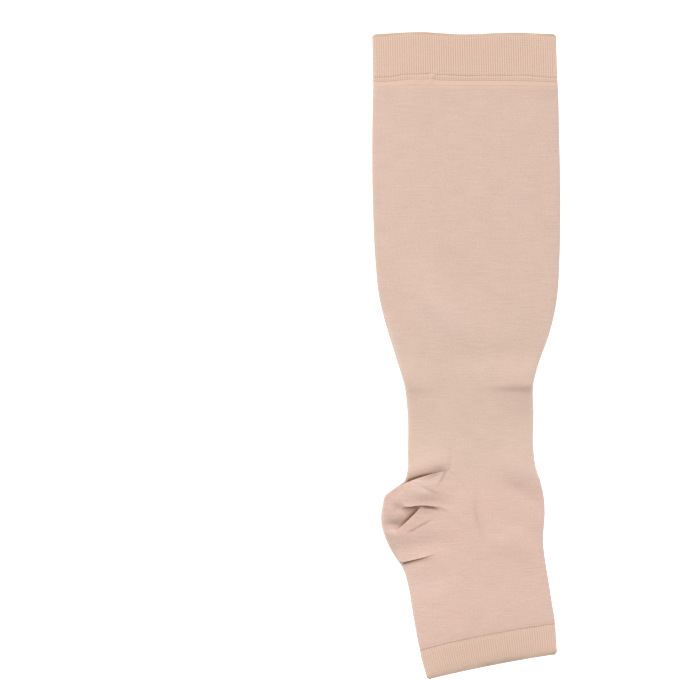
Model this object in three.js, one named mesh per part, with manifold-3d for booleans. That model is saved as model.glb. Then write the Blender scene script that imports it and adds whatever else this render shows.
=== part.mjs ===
// Knee-high open-toe compression stocking, lying flat on its side as it is laid out unworn.
// It is a hollow knitted tube: a turned rib band at the knee, a rolled linking seam, the leg and foot
// in one tube, a heel pocket knitted in behind the ankle, and a rib band round the open toes.
// Millimetres, +Z up. +Y runs up the leg to the knee, +X points to the shin, the heel is on the -X side.

import * as THREE from "three";
import { mergeVertices } from "three/addons/utils/BufferGeometryUtils.js";
import Module from "manifold-3d";

const wasm = await Module();
wasm.setup();

// Driving sizes
const KNIT_WALL = 1.0; // single knit of the leg, heel and foot
const KNEE_BAND_WALL = 2.0; // rib knit turned down double
const TOE_BAND_WALL = 1.6;
const SEAM_WALL = 1.8; // the rolled linking seam
const PIECE_GAP = 0.3; // left between two knit sections where they meet
const CROWN_POWER = 2.6; // how squarely the upper layer stands over the lower one
const TOE_LIP = 1.2; // the lower layer reaches this much further than the upper one at the toes

// The flat outline, from the knee down. Each row is one place where it changes: x and y on the back fold
// (calf, heel and sole), x and y on the front fold (shin and instep), the height of the upper layer above
// the surface, the radius of the folded edges, and the rings of the mesh down to the next row.
const OUTLINE = [
  { place: "knee edge",     back: [-63.8, 217.7],  front: [60.8, 218.4],  height: 12.0, fold: 3.0, rings: 3 },
  { place: "band end",      back: [-63.3, 186.7],  front: [61.8, 185.9],  height: 12.0, fold: 2.9, rings: 1 },
  { place: "seam end",      back: [-63.3, 183.4],  front: [62.1, 182.7],  height: 12.0, fold: 2.6, rings: 2 },
  { place: "upper calf",    back: [-64.0, 153.5],  front: [63.1, 153.5],  height: 12.2, fold: 2.4, rings: 3 },
  { place: "calf",          back: [-63.5, 102.5],  front: [64.2, 99.1],   height: 12.5, fold: 2.4, rings: 2 },
  { place: "lower calf",    back: [-61.8, 66.5],   front: [63.3, 66.5],   height: 12.2, fold: 2.4, rings: 2 },
  { place: "calf taper",    back: [-58.4, 36.6],   front: [61.4, 36.6],   height: 11.8, fold: 2.4, rings: 2 },
  { place: "mid taper",     back: [-52.6, 14.8],   front: [56.5, 14.8],   height: 11.2, fold: 2.4, rings: 2 },
  { place: "low taper",     back: [-45.9, -7.0],   front: [48.6, -7.0],   height: 10.8, fold: 2.4, rings: 2 },
  { place: "ankle top",     back: [-42.3, -19.2],  front: [45.6, -19.2],  height: 10.5, fold: 2.4, rings: 3 },
  { place: "ankle",         back: [-39.4, -39.6],  front: [45.2, -38.3],  height: 10.5, fold: 2.4, rings: 2 },
  { place: "low ankle",     back: [-39.3, -64.1],  front: [45.6, -62.7],  height: 11.2, fold: 2.4, rings: 4 },
  { place: "heel notch",    back: [-40.6, -82.8],  front: [49.0, -81.1],  height: 12.2, fold: 2.4, rings: 5 },
  { place: "heel shoulder", back: [-54.4, -94.0],  front: [51.6, -89.9],  height: 13.4, fold: 2.4, rings: 5 },
  { place: "heel back",     back: [-57.8, -109.7], front: [53.5, -104.9], height: 14.0, fold: 2.4, rings: 4 },
  { place: "heel under",    back: [-55.0, -122.9], front: [52.9, -116.5], height: 13.6, fold: 2.4, rings: 4 },
  { place: "heel to sole",  back: [-49.2, -134.8], front: [52.5, -125.3], height: 12.8, fold: 2.4, rings: 3 },
  { place: "sole tuck",     back: [-43.3, -143.7], front: [53.1, -134.1], height: 11.8, fold: 2.4, rings: 3 },
  { place: "instep",        back: [-39.4, -155.9], front: [55.7, -151.1], height: 11.0, fold: 2.4, rings: 2 },
  { place: "mid foot",      back: [-35.5, -178.3], front: [58.9, -171.5], height: 10.8, fold: 2.4, rings: 2 },
  { place: "toe seam",      back: [-30.8, -200.1], front: [60.4, -182.1], height: 10.6, fold: 2.5, rings: 3 },
  { place: "toe edge",      back: [-25.6, -219.5], front: [61.7, -201.8], height: 10.4, fold: 2.6, rings: 0 },
];

// Sharp tucks in the upper layer, each along a line. The knit stands up as a crest on one side of the line
// and drops into a valley on the other, and both die away over its reach. Going from start to end,
// the crest is on the left where side is 1 and on the right where it is -1.
const TUCKS = [
  { name: "ankle", start: [-42.6, -85.8],  end: [-12.0, -75.3],  side: -1, crest: 1.2, drop: 4.2, reach: 6.0 },
  { name: "heel",  start: [-43.5, -103.0], end: [-9.6, -105.0],  side: 1,  crest: 1.4, drop: 3.6, reach: 4.5 },
  { name: "ball",  start: [-30.5, -103.5], end: [-46.5, -118.5], side: 1,  crest: 1.2, drop: 4.4, reach: 6.5 },
  { name: "sole",  start: [-43.6, -142.6], end: [-21.9, -133.1], side: 1,  crest: 1.2, drop: 3.2, reach: 4.5 },
];
const TUCK_RISE = 0.1; // share of a tuck's length over which it starts
const TUCK_FADE = 0.3; // and over which it runs out at its inner end
const TUCK_EDGE = 1.2; // half the width of the step between crest and valley

// Soft swells and dips of the upper layer, each an oval: its middle, its reach along a direction turned by
// turn degrees from +X, its reach across that, and how far it rises or, where negative, sinks.
const SWELLS = [
  { name: "heel ball",     middle: [-49.0, -107.0], turn: 80,  along: 15, across: 11, rise: 2.4 },
  { name: "ankle front",   middle: [34.0, -24.5],   turn: 0,   along: 26, across: 8,  rise: -2.2 },
  { name: "ankle back",    middle: [-33.0, -29.5],  turn: 0,   along: 17, across: 8,  rise: -1.6 },
  { name: "calf wave",     middle: [9.5, 5.0],      turn: 4,   along: 26, across: 7,  rise: -1.1 },
  { name: "instep groove", middle: [9.5, -105.0],   turn: 88,  along: 24, across: 5,  rise: -1.6 },
  { name: "instep hollow", middle: [36.5, -86.5],   turn: -25, along: 17, across: 6,  rise: -1.6 },
  { name: "ankle ridge",   middle: [-11.0, -66.0],  turn: 98,  along: 14, across: 4,  rise: 1.0 },
];

// The knee edge rises in two low waves between its corners.
const KNEE_WAVES = { backHalf: 2.0, frontHalf: 1.3 };

// The heel pocket is a wedge of the back of the stocking, seen from the side. Its mouth runs from the notch
// above the heel to the sole, and its two gore lines meet at a rounded point beside the ankle.
const HEEL_GORE = { notch: [-41.0, -84.0], point: [-7.0, -104.0], sole: [-43.0, -142.5] };
const GORE_ROUND = 0.3; // share of each gore line that its rounded point takes
const PAST_HEEL = -75; // an x that lies clear of the heel

// Points of the mesh round one ring
const UPPER_POINTS = 26;
const LOWER_POINTS = 6;
const FOLD_POINTS = 4;
const UPPER_EDGE = 3; // how soon, going in from a fold, a point moves fully with the upper layer

const { lerp, clamp, smoothstep, degToRad } = THREE.MathUtils;
const ROW = Object.fromEntries(OUTLINE.map((row, index) => [row.place, index]));
const LAST_ROW = OUTLINE.length - 1;
const backFold = new THREE.CatmullRomCurve3(OUTLINE.map((row) => new THREE.Vector3(...row.back, 0)));
const frontFold = new THREE.CatmullRomCurve3(OUTLINE.map((row) => new THREE.Vector3(...row.front, 0)));

// The cross section at a station: 0 is the knee edge, 1 the next row of the outline, and so on.
function sectionAt(station) {
  const back = backFold.getPoint(station / LAST_ROW);
  const front = frontFold.getPoint(station / LAST_ROW);
  const row = Math.min(Math.floor(station), LAST_ROW - 1);
  const between = smoothstep(station - row, 0, 1);
  const size = (column) => lerp(OUTLINE[row][column], OUTLINE[row + 1][column], between);
  return {
    middle: back.clone().add(front).multiplyScalar(0.5),
    across: front.clone().sub(back).normalize(),
    half: back.distanceTo(front) / 2,
    height: size("height"),
    fold: size("fold"),
  };
}

// One closed loop round the tube: flat below, round at the folds, crowned above. Each point has its x across
// the section, its z, and the share of the upper layer's relief that it takes. inset is its depth in the wall.
function sectionLoop({ half, height, fold }, inset) {
  const radius = fold - inset;
  const flat = half - fold;
  const crown = height - 2 * fold;
  const loop = [];
  const addFold = (side, from) => {
    for (let i = 1; i < FOLD_POINTS; i++) {
      const angle = from + (Math.PI * i) / FOLD_POINTS;
      loop.push({ x: side * flat + radius * Math.cos(angle), z: fold + radius * Math.sin(angle), upper: 0 });
    }
  };
  for (let i = 0; i <= LOWER_POINTS; i++) {
    loop.push({ x: flat * ((2 * i) / LOWER_POINTS - 1), z: inset, upper: 0 });
  }
  addFold(1, -Math.PI / 2);
  for (let i = 0; i <= UPPER_POINTS; i++) {
    const t = 1 - (2 * i) / UPPER_POINTS;
    const lift = 1 - Math.abs(t) ** CROWN_POWER;
    loop.push({ x: flat * t, z: 2 * fold - inset + crown * lift, upper: Math.min(1, UPPER_EDGE * lift) });
  }
  addFold(-1, Math.PI / 2);
  return loop;
}

// Rise of the upper layer beside one tuck
function tuckAt(tuck, x, y) {
  const start = new THREE.Vector2(...tuck.start);
  const way = new THREE.Vector2(...tuck.end).sub(start);
  const offset = new THREE.Vector2(x, y).sub(start);
  const along = offset.dot(way) / way.lengthSq();
  const aside = (tuck.side * way.cross(offset)) / way.length();
  const fade = smoothstep(along, -TUCK_RISE, TUCK_RISE) * (1 - smoothstep(along, 1 - TUCK_FADE, 1));
  const onCrest = smoothstep(aside, -TUCK_EDGE, TUCK_EDGE);
  const decay = Math.exp(-Math.abs(aside) / tuck.reach);
  return fade * decay * lerp(-tuck.drop, tuck.crest, onCrest);
}

// Rise of the upper layer over one soft swell
function swellAt(swell, x, y) {
  const offset = new THREE.Vector2(x, y).sub(new THREE.Vector2(...swell.middle));
  offset.rotateAround(new THREE.Vector2(), -degToRad(swell.turn));
  return swell.rise * Math.exp(-((offset.x / swell.along) ** 2) - (offset.y / swell.across) ** 2);
}

function reliefAt(x, y) {
  let rise = 0;
  for (const tuck of TUCKS) rise += tuckAt(tuck, x, y);
  for (const swell of SWELLS) rise += swellAt(swell, x, y);
  return rise;
}

// How far the knee edge stands above the line between its corners, for t from -1 at the back to 1 in front
function kneeWave(t) {
  return Math.sin(Math.PI * t) ** 2 * (t < 0 ? KNEE_WAVES.backHalf : KNEE_WAVES.frontHalf);
}

// One ring of points at a station, inset into the wall
function ringAt(station, inset) {
  const section = sectionAt(station);
  const upTheLeg = new THREE.Vector3(-section.across.y, section.across.x, 0);
  const atKneeEdge = 1 - clamp(station / ROW["band end"], 0, 1);
  const atToeEdge = clamp(station - ROW["toe seam"], 0, 1);
  return sectionLoop(section, inset).map(({ x, z, upper }) => {
    const point = section.middle.clone().addScaledVector(section.across, x);
    point.addScaledVector(upTheLeg, kneeWave(x / section.half) * atKneeEdge);
    point.addScaledVector(upTheLeg, -TOE_LIP * (1 - upper) * atToeEdge);
    point.z = z + upper * reliefAt(point.x, point.y);
    return point;
  });
}

// A hollow tube through the given stations, open at both ends
function tubeThrough(stations, wall) {
  const outer = stations.map((station) => ringAt(station, 0));
  const inner = stations.map((station) => ringAt(station, wall)).reverse();
  const rings = [...outer, ...inner];
  const count = outer[0].length;
  const index = [];
  rings.forEach((_, r) => {
    const here = r * count;
    const next = ((r + 1) % rings.length) * count;
    for (let i = 0; i < count; i++) {
      const j = (i + 1) % count;
      index.push(here + i, next + j, next + i, here + i, here + j, next + j);
    }
  });
  const geometry = new THREE.BufferGeometry().setFromPoints(rings.flat());
  return geometry.setIndex(index);
}

// The stations from one row of the outline to another, with half the gap left at each end that meets a neighbour
function stationsBetween(fromPlace, toPlace) {
  const from = ROW[fromPlace];
  const to = ROW[toPlace];
  const stations = [];
  for (let row = from; row < to; row++) {
    const { rings } = OUTLINE[row];
    for (let i = 0; i < rings; i++) stations.push(row + i / rings);
  }
  stations.push(to);
  const rowLength = (row) => sectionAt(row).middle.distanceTo(sectionAt(row + 1).middle);
  if (from > 0) stations[0] += PIECE_GAP / 2 / rowLength(from);
  if (to < LAST_ROW) stations[stations.length - 1] -= PIECE_GAP / 2 / rowLength(to - 1);
  return stations;
}

// A block of the heel pocket's plan, widened all round by grow, that passes right through both layers
function heelBlock(grow) {
  const [notchX, notchY] = HEEL_GORE.notch;
  const [pointX, pointY] = HEEL_GORE.point;
  const [soleX, soleY] = HEEL_GORE.sole;
  const plan = new THREE.Shape();
  plan.moveTo(PAST_HEEL, notchY + grow);
  plan.lineTo(PAST_HEEL, soleY - grow);
  plan.lineTo(soleX, soleY - grow);
  plan.lineTo(lerp(pointX, soleX, GORE_ROUND) + grow, lerp(pointY, soleY, GORE_ROUND) - grow);
  const roundEndX = lerp(pointX, notchX, GORE_ROUND) + grow;
  const roundEndY = lerp(pointY, notchY, GORE_ROUND) + grow;
  plan.quadraticCurveTo(pointX + grow, pointY, roundEndX, roundEndY);
  plan.lineTo(notchX, notchY + grow);
  const tallest = Math.max(...OUTLINE.map((row) => row.height));
  const block = new THREE.ExtrudeGeometry(plan, { depth: 3 * tallest, bevelEnabled: false, curveSegments: 6 });
  return block.translate(0, 0, -tallest);
}

function solidOf(geometry) {
  const merged = mergeVertices(geometry.clone().deleteAttribute("normal").deleteAttribute("uv"));
  const vertProperties = new Float32Array(merged.attributes.position.array);
  const triVerts = new Uint32Array(merged.index.array);
  return new wasm.Manifold(new wasm.Mesh({ numProp: 3, vertProperties, triVerts }));
}

function geometryOf(solid) {
  const { vertProperties, triVerts } = solid.getMesh();
  const geometry = new THREE.BufferGeometry();
  geometry.setAttribute("position", new THREE.BufferAttribute(vertProperties, 3));
  return geometry.setIndex(new THREE.BufferAttribute(triVerts, 1));
}

const knitFinish = new THREE.MeshStandardMaterial({ color: 0xdec0b1, roughness: 0.85, metalness: 0 });
const ribFinish = new THREE.MeshStandardMaterial({ color: 0xdebfab, roughness: 0.9, metalness: 0 });
const seamFinish = new THREE.MeshStandardMaterial({ color: 0xe5c6b1, roughness: 0.85, metalness: 0 });

const stocking = new THREE.Group();

function addPiece(name, geometry, finish) {
  geometry.computeVertexNormals();
  const piece = new THREE.Mesh(geometry, finish);
  piece.name = name;
  stocking.add(piece);
}

// Rib band turned down double round the knee edge
addPiece("top_band", tubeThrough(stationsBetween("knee edge", "band end"), KNEE_BAND_WALL), ribFinish);

// Rolled seam that links the band to the leg
addPiece("band_seam", tubeThrough(stationsBetween("band end", "seam end"), SEAM_WALL), seamFinish);

// Leg and foot knitted in one tube, with the heel pocket as its own section behind the ankle
const knitTube = solidOf(tubeThrough(stationsBetween("seam end", "toe seam"), KNIT_WALL));
addPiece("leg_and_foot", geometryOf(knitTube.subtract(solidOf(heelBlock(PIECE_GAP)))), knitFinish);
addPiece("heel_pocket", geometryOf(knitTube.intersect(solidOf(heelBlock(0)))), knitFinish);

// Rib band round the open toes
addPiece("toe_band", tubeThrough(stationsBetween("toe seam", "toe edge"), TOE_BAND_WALL), ribFinish);

export default stocking;
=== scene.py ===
import math
from collections import namedtuple

import bpy
import numpy as np
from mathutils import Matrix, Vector
from mathutils.bvhtree import BVHTree


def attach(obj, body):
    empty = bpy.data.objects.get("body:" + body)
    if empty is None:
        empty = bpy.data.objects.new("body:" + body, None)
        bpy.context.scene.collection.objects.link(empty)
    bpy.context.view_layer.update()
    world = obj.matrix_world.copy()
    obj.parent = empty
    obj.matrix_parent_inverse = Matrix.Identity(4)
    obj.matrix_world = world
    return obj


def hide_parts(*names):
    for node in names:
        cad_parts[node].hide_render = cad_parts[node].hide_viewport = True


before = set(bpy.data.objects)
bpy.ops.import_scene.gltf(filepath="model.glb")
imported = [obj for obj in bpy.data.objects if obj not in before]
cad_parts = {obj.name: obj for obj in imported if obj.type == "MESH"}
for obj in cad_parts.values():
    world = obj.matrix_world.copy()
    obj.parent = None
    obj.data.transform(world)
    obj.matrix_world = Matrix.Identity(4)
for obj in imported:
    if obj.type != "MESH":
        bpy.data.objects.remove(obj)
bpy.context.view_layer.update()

# Camera
# The stocking lies on its side and is seen from straight above, to the right of the middle of the view.
# Sizes in this file are in millimetres, and MM turns them into the scene's metres.
MM = 0.001
VIEW_SIDE = 462.4  # side of the square of table that the view takes in
VIEW_MIDDLE = (-85.5, 10.7)
OUTLINE_LEVEL = 3.0  # height above the table at which the outline lies
LENS = 200.0
SENSOR = 36.0
scene = bpy.context.scene
camera_data = bpy.data.cameras.new("camera")
camera_data.lens = LENS
camera_data.sensor_width = SENSOR
camera = bpy.data.objects.new("camera", camera_data)
camera_height = OUTLINE_LEVEL + VIEW_SIDE * LENS / SENSOR
camera.location = Vector((*VIEW_MIDDLE, camera_height)) * MM
scene.collection.objects.link(camera)
scene.camera = camera
scene.view_settings.view_transform = "Standard"


# Table and light
# A white light table in an even white studio. One very wide lamp high above the knee end, a little to the
# left, gives the folds their shade.
class Wire:
    """An output in a node tree. Arithmetic on it adds Math nodes to that tree."""

    def __init__(self, tree, socket=None):
        self.tree = tree
        self.socket = socket

    def node(self, kind, settings=None, inputs=None, output=0):
        """Adds a node, sets its settings, then its inputs to values or wires, and gives one output."""
        made = self.tree.nodes.new(kind)
        for name, value in (settings or {}).items():
            setattr(made, name, value)
        for key, value in (inputs or {}).items():
            if isinstance(value, Wire):
                self.tree.links.new(value.socket, made.inputs[key])
            else:
                made.inputs[key].default_value = value
        return Wire(self.tree, made.outputs[output] if made.outputs else None)

    def math(self, operation, *values):
        return self.node("ShaderNodeMath", {"operation": operation}, dict(enumerate(values)))

    def sine(self):
        return self.math("SINE", self)

    def mix(self, share, colour, other):
        """Goes from one colour to another as share goes from 0 to 1. A Mix node's colours are its inputs 6
        and 7 and its output 2."""
        return self.node("ShaderNodeMix", {"data_type": "RGBA"}, {0: share, 6: colour, 7: other}, 2)

    def __add__(self, other):
        return self.math("ADD", self, other)

    def __sub__(self, other):
        return self.math("SUBTRACT", self, other)

    def __rsub__(self, other):
        return self.math("SUBTRACT", other, self)

    def __mul__(self, other):
        return self.math("MULTIPLY", self, other)

    def __truediv__(self, other):
        return self.math("DIVIDE", self, other)

    def __pow__(self, other):
        return self.math("POWER", self, other)

    def __abs__(self):
        return self.math("ABSOLUTE", self)

    __radd__ = __add__
    __rmul__ = __mul__


def new_finish(name):
    """An empty material, and the wire that its nodes are added from."""
    material = bpy.data.materials.new(name)
    material.use_nodes = True
    material.node_tree.nodes.clear()
    return material, Wire(material.node_tree)


def close_finish(wire, shader_inputs):
    """Ends a material in one shader with the given inputs."""
    shader = wire.node("ShaderNodeBsdfPrincipled", None, shader_inputs)
    wire.node("ShaderNodeOutputMaterial", None, {"Surface": shader})


TABLE_WHITE = (0.25, 0.25, 0.25, 1)
TABLE_GLOW = 1.5
TABLE_HALF = 2500
TABLE_LEVEL = -0.1  # just below the stocking's lower layer
table_finish, table_wire = new_finish("white_table")
table_look = {"Base Color": TABLE_WHITE, "Roughness": 0.9, "Specular IOR Level": 0.1}
close_finish(table_wire, {**table_look, "Emission Color": (1, 1, 1, 1), "Emission Strength": TABLE_GLOW})
table_mesh = bpy.data.meshes.new("table")
table_corners = [(-1, -1), (1, -1), (1, 1), (-1, 1)]
table_points = [Vector((x * TABLE_HALF, y * TABLE_HALF, TABLE_LEVEL)) * MM for x, y in table_corners]
table_mesh.from_pydata(table_points, [], [(0, 1, 2, 3)])
table_mesh.materials.append(table_finish)
table = bpy.data.objects.new("table", table_mesh)
scene.collection.objects.link(table)

STUDIO_WHITE = 0.51  # brightness of the surroundings
KEY_FROM = (-0.16, 0.545, 0.825)  # the way to the wide lamp
KEY_WIDTH = 45  # degrees of the surroundings that it fills
KEY_STRENGTH = 2.04
world = bpy.data.worlds.new("studio")
world.use_nodes = True
world.node_tree.nodes["Background"].inputs["Color"].default_value = (1, 1, 1, 1)
world.node_tree.nodes["Background"].inputs["Strength"].default_value = STUDIO_WHITE
scene.world = world
key_light = bpy.data.lights.new("key_light", "SUN")
key_light.angle = math.radians(KEY_WIDTH)
key_light.energy = KEY_STRENGTH
key_lamp = bpy.data.objects.new("key_light", key_light)
key_lamp.rotation_euler = Vector(KEY_FROM).to_track_quat("Z", "Y").to_euler()
scene.collection.objects.link(key_lamp)

# Leg, foot and heel
# The calf, ankle, instep and foot are one tube of fine elastic knit, and the heel is a pocket knitted into
# it between gore lines. Laid down, the lower layer is flat, the sides fold over, and the upper layer tucks
# in round the heel.
WALL = 0.3  # thin, so that the tight folds at the heel don't poke through themselves
CROWN_POWER = 2.6  # how squarely the upper layer stands over the lower one
# Each row gives the two ends of a line across the tube, the height of the upper layer and the folds at
# both ends. fold is half the height of the back fold, rim how far it reaches in, and front_fold the radius
# of the front one.
Row = namedtuple("Row", "place back_x back_y front_x front_y height fold rim front_fold")
OUTLINE = [
    Row("knee edge", -63.8, 218.7, 61.6, 218.8, 12.0, 3.0, 3.0, 3.0),
    Row("band end", -63.3, 186.1, 62.7, 185.9, 11.8, 3.0, 3.0, 3.0),
    Row("seam end", -63.3, 182.8, 62.9, 182.7, 11.7, 2.9, 2.9, 2.9),
    Row("upper calf", -63.8, 153.5, 63.7, 153.5, 11.5, 2.9, 2.9, 2.9),
    Row("calf", -63.4, 102.5, 64.6, 99.1, 11.5, 2.9, 2.9, 2.9),
    Row("lower calf", -61.8, 66.5, 64.0, 66.5, 11.3, 2.9, 2.9, 2.9),
    Row("calf taper", -58.4, 36.6, 61.9, 36.6, 11.0, 3.0, 3.4, 2.9),
    Row("mid taper", -52.6, 14.8, 57.0, 14.8, 10.6, 3.1, 3.8, 2.9),
    Row("low taper", -45.8, -7.0, 49.2, -7.0, 10.3, 3.1, 3.8, 2.9),
    Row("ankle top", -42.2, -19.2, 46.2, -19.2, 10.2, 3.1, 3.8, 2.9),
    Row("ankle", -39.7, -39.6, 46.3, -38.3, 10.2, 3.1, 3.8, 3.0),
    Row("low ankle", -39.5, -64.1, 46.1, -62.7, 10.8, 2.6, 3.2, 3.0),
    Row("above notch", -40.0, -79.0, 48.2, -77.0, 11.6, 1.7, 1.7, 2.7),
    Row("notch start", -41.3, -84.1, 49.8, -81.6, 12.0, 1.5, 1.5, 2.7),
    Row("heel notch", -42.4, -85.9, 50.4, -83.2, 12.1, 1.6, 1.4, 2.7),
    Row("notch end", -43.9, -86.8, 50.8, -84.6, 12.2, 2.2, 1.3, 2.7),
    Row("heel step", -48.5, -90.0, 51.5, -87.8, 12.4, 4.0, 1.3, 2.7),
    Row("corner start", -53.2, -93.2, 52.3, -91.0, 12.6, 5.0, 1.3, 2.7),
    Row("heel corner", -54.6, -94.4, 52.6, -92.3, 12.7, 5.2, 1.4, 2.7),
    Row("corner end", -55.6, -96.0, 52.9, -93.8, 12.8, 5.3, 1.5, 2.7),
    Row("heel shoulder", -56.4, -99.4, 53.4, -97.4, 12.8, 5.2, 1.6, 2.7),
    Row("heel back", -58.0, -110.2, 53.9, -106.2, 12.8, 4.8, 1.8, 2.7),
    Row("heel under", -55.2, -122.9, 53.3, -116.5, 12.6, 4.2, 2.8, 2.7),
    Row("heel to sole", -49.4, -134.8, 52.8, -125.3, 12.4, 2.8, 2.6, 2.6),
    Row("sole tuck", -43.4, -143.7, 53.5, -134.1, 12.2, 1.8, 1.8, 2.6),
    Row("instep", -39.4, -155.9, 56.2, -151.1, 12.1, 2.4, 2.4, 2.6),
    Row("mid foot", -35.6, -178.3, 59.4, -171.5, 11.8, 2.8, 2.8, 2.8),
    Row("toe seam", -31.6, -200.1, 61.0, -182.1, 10.6, 2.6, 2.6, 2.6),
    Row("toe band", -29.4, -209.1, 61.7, -191.7, 9.4, 2.5, 2.5, 2.5),
    Row("toe turn", -27.5, -215.8, 62.1, -198.4, 8.1, 2.4, 2.4, 2.4),
    Row("toe lip", -26.8, -218.2, 62.3, -200.9, 7.0, 2.2, 2.2, 2.2),
    Row("toe edge", -26.3, -220.6, 62.4, -203.2, 5.0, 2.0, 2.0, 2.0),
]
columns = {name: np.array([getattr(row, name) for row in OUTLINE]) for name in Row._fields[1:]}
middle_x = (columns["back_x"] + columns["front_x"]) / 2
middle_y = (columns["back_y"] + columns["front_y"]) / 2
row_down = np.concatenate(([0], np.cumsum(np.hypot(np.diff(middle_x), np.diff(middle_y)))))
# The distance down the leg to each row, by its place.
DOWN = {row.place: distance for row, distance in zip(OUTLINE, row_down)}


def through_rows(name, down):
    """A smooth curve through one column of the outline, read at a distance down the leg."""
    values = columns[name]
    step = np.diff(row_down)
    slope = np.diff(values) / step
    inner = (slope[:-1] * step[1:] + slope[1:] * step[:-1]) / (step[:-1] + step[1:])
    tangent = np.concatenate(([slope[0]], inner, [slope[-1]]))
    i = min(max(int(np.searchsorted(row_down, down, side="right")) - 1, 0), len(step) - 1)
    t = (down - row_down[i]) / step[i]
    ease = t * t * (3 - 2 * t)
    bend = t * (1 - t) * ((1 - t) * tangent[i] - t * tangent[i + 1]) * step[i]
    return values[i] * (1 - ease) + values[i + 1] * ease + bend


def ramp(value, low, high):
    """Rises smoothly from 0 at low to 1 at high."""
    t = np.clip((value - low) / (high - low), 0, 1)
    return t * t * (3 - 2 * t)


# Each tuck runs along a line. The knit stands up as a crest on one side of it and drops into a valley on
# the other, and the crest leans over the valley by lean. bow bends the line towards the crest. From start
# to end the crest is on the left where side is 1 and on the right where it is -1. rise and fade are the
# shares of the length over which it comes in and dies out. edge is half the width of knit that turns over
# between crest and valley. shade is how much painted shade lies in its crease, dark_at and dark_reach where
# along it, dusk how much painted shade lies on the knit beside it, and shine how much painted highlight
# lies along the crest. under names the tuck whose crest lies over this one.
Tuck = namedtuple(
    "Tuck",
    "name start end bow side crest drop crest_reach valley_reach lean rise fade edge"
    " shade dark_at dark_reach dusk shine under",
    defaults=(1.3, 0.0, 0.5, 0.5, 0.0, 0.0, None),
)
TUCKS = [
    Tuck(
        "ankle", (-43.6, -88.6), (-8.0, -77.8), -1.2, -1, 2.0, 8.0, 6.0, 1.4, 2.4, 0.08, 0.38,
        shade=1.6, dark_at=0.3, dark_reach=0.35, dusk=0.5,
    ),
    Tuck(
        "heel", (-45.0, -102.85), (-9.6, -105.0), 3.25, 1, 2.0, 1.3, 1.3, 2.0, 2.4, 0.25, 0.5,
        shade=1.8, dark_at=0.58, dark_reach=0.2, dusk=0.34, shine=1.5,
    ),
    Tuck(
        "heel ball", (-30.4, -104.0), (-49.5, -122.2), 0.2, 1, 1.4, 10.0, 6.0, 2.0, 2.4, 0.12, 0.6,
        shade=1.0, dark_at=0.35, dark_reach=0.4, dusk=0.16, under="heel",
    ),
    Tuck(
        "sole", (-46.8, -140.5), (-16.0, -133.3), 0.4, 1, 2.0, 0.8, 5.0, 1.0, 2.3, 0.1, 0.55,
        shade=1.1, dark_at=0.1, dark_reach=0.65, shine=0.6,
    ),
    Tuck("lower gore", (-39.0, -119.6), (-21.0, -109.1), 0.0, 1, 0.3, 0.8, 2.5, 1.6, 0.9, 0.1, 0.4),
    Tuck("upper gore", (-33.0, -86.8), (-16.0, -94.8), 0.0, 1, 0.3, 0.6, 3.0, 2.0, 0.3, 0.3, 0.4),
    Tuck("ankle hook", (-11.2, -77.2), (-21.2, -90.2), 0.0, -1, 0.65, 0.9, 3.0, 2.5, 0.2, 0.1, 0.6),
    Tuck("ankle ridge", (-9.6, -54.0), (-12.4, -78.0), 0.0, -1, 0.5, 0.5, 3.0, 4.0, 0.1, 0.6, 0.1, 2.0),
    Tuck("front ankle", (50.0, -22.4), (0.0, -22.3), 0.0, -1, 1.1, 1.1, 9.0, 30.0, 0.0, 0.02, 0.85, 2.8),
    Tuck("back ankle", (-43.5, -23.6), (-8.0, -24.4), 0.0, 1, 0.3, 0.4, 8.0, 30.0, 0.0, 0.1, 0.8, 2.4),
    Tuck("sole ripple", (-36.5, -169.5), (-21.0, -165.5), 0.0, 1, 0.25, 0.5, 3.0, 2.5, 0.1, 0.1, 0.6),
]
LEAN_REACH = 3.5  # the knit leans over this far to both sides of a tuck's line
CREASE_PLACE = 2.6  # where the shade inside a tuck is deepest, on its valley side
CREASE_REACH = 1.1
DUSK_REACH = 3.0
SHINE_PLACE = 1.1  # where the painted highlight on a crest is lightest
SHINE_REACH = 0.8

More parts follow.
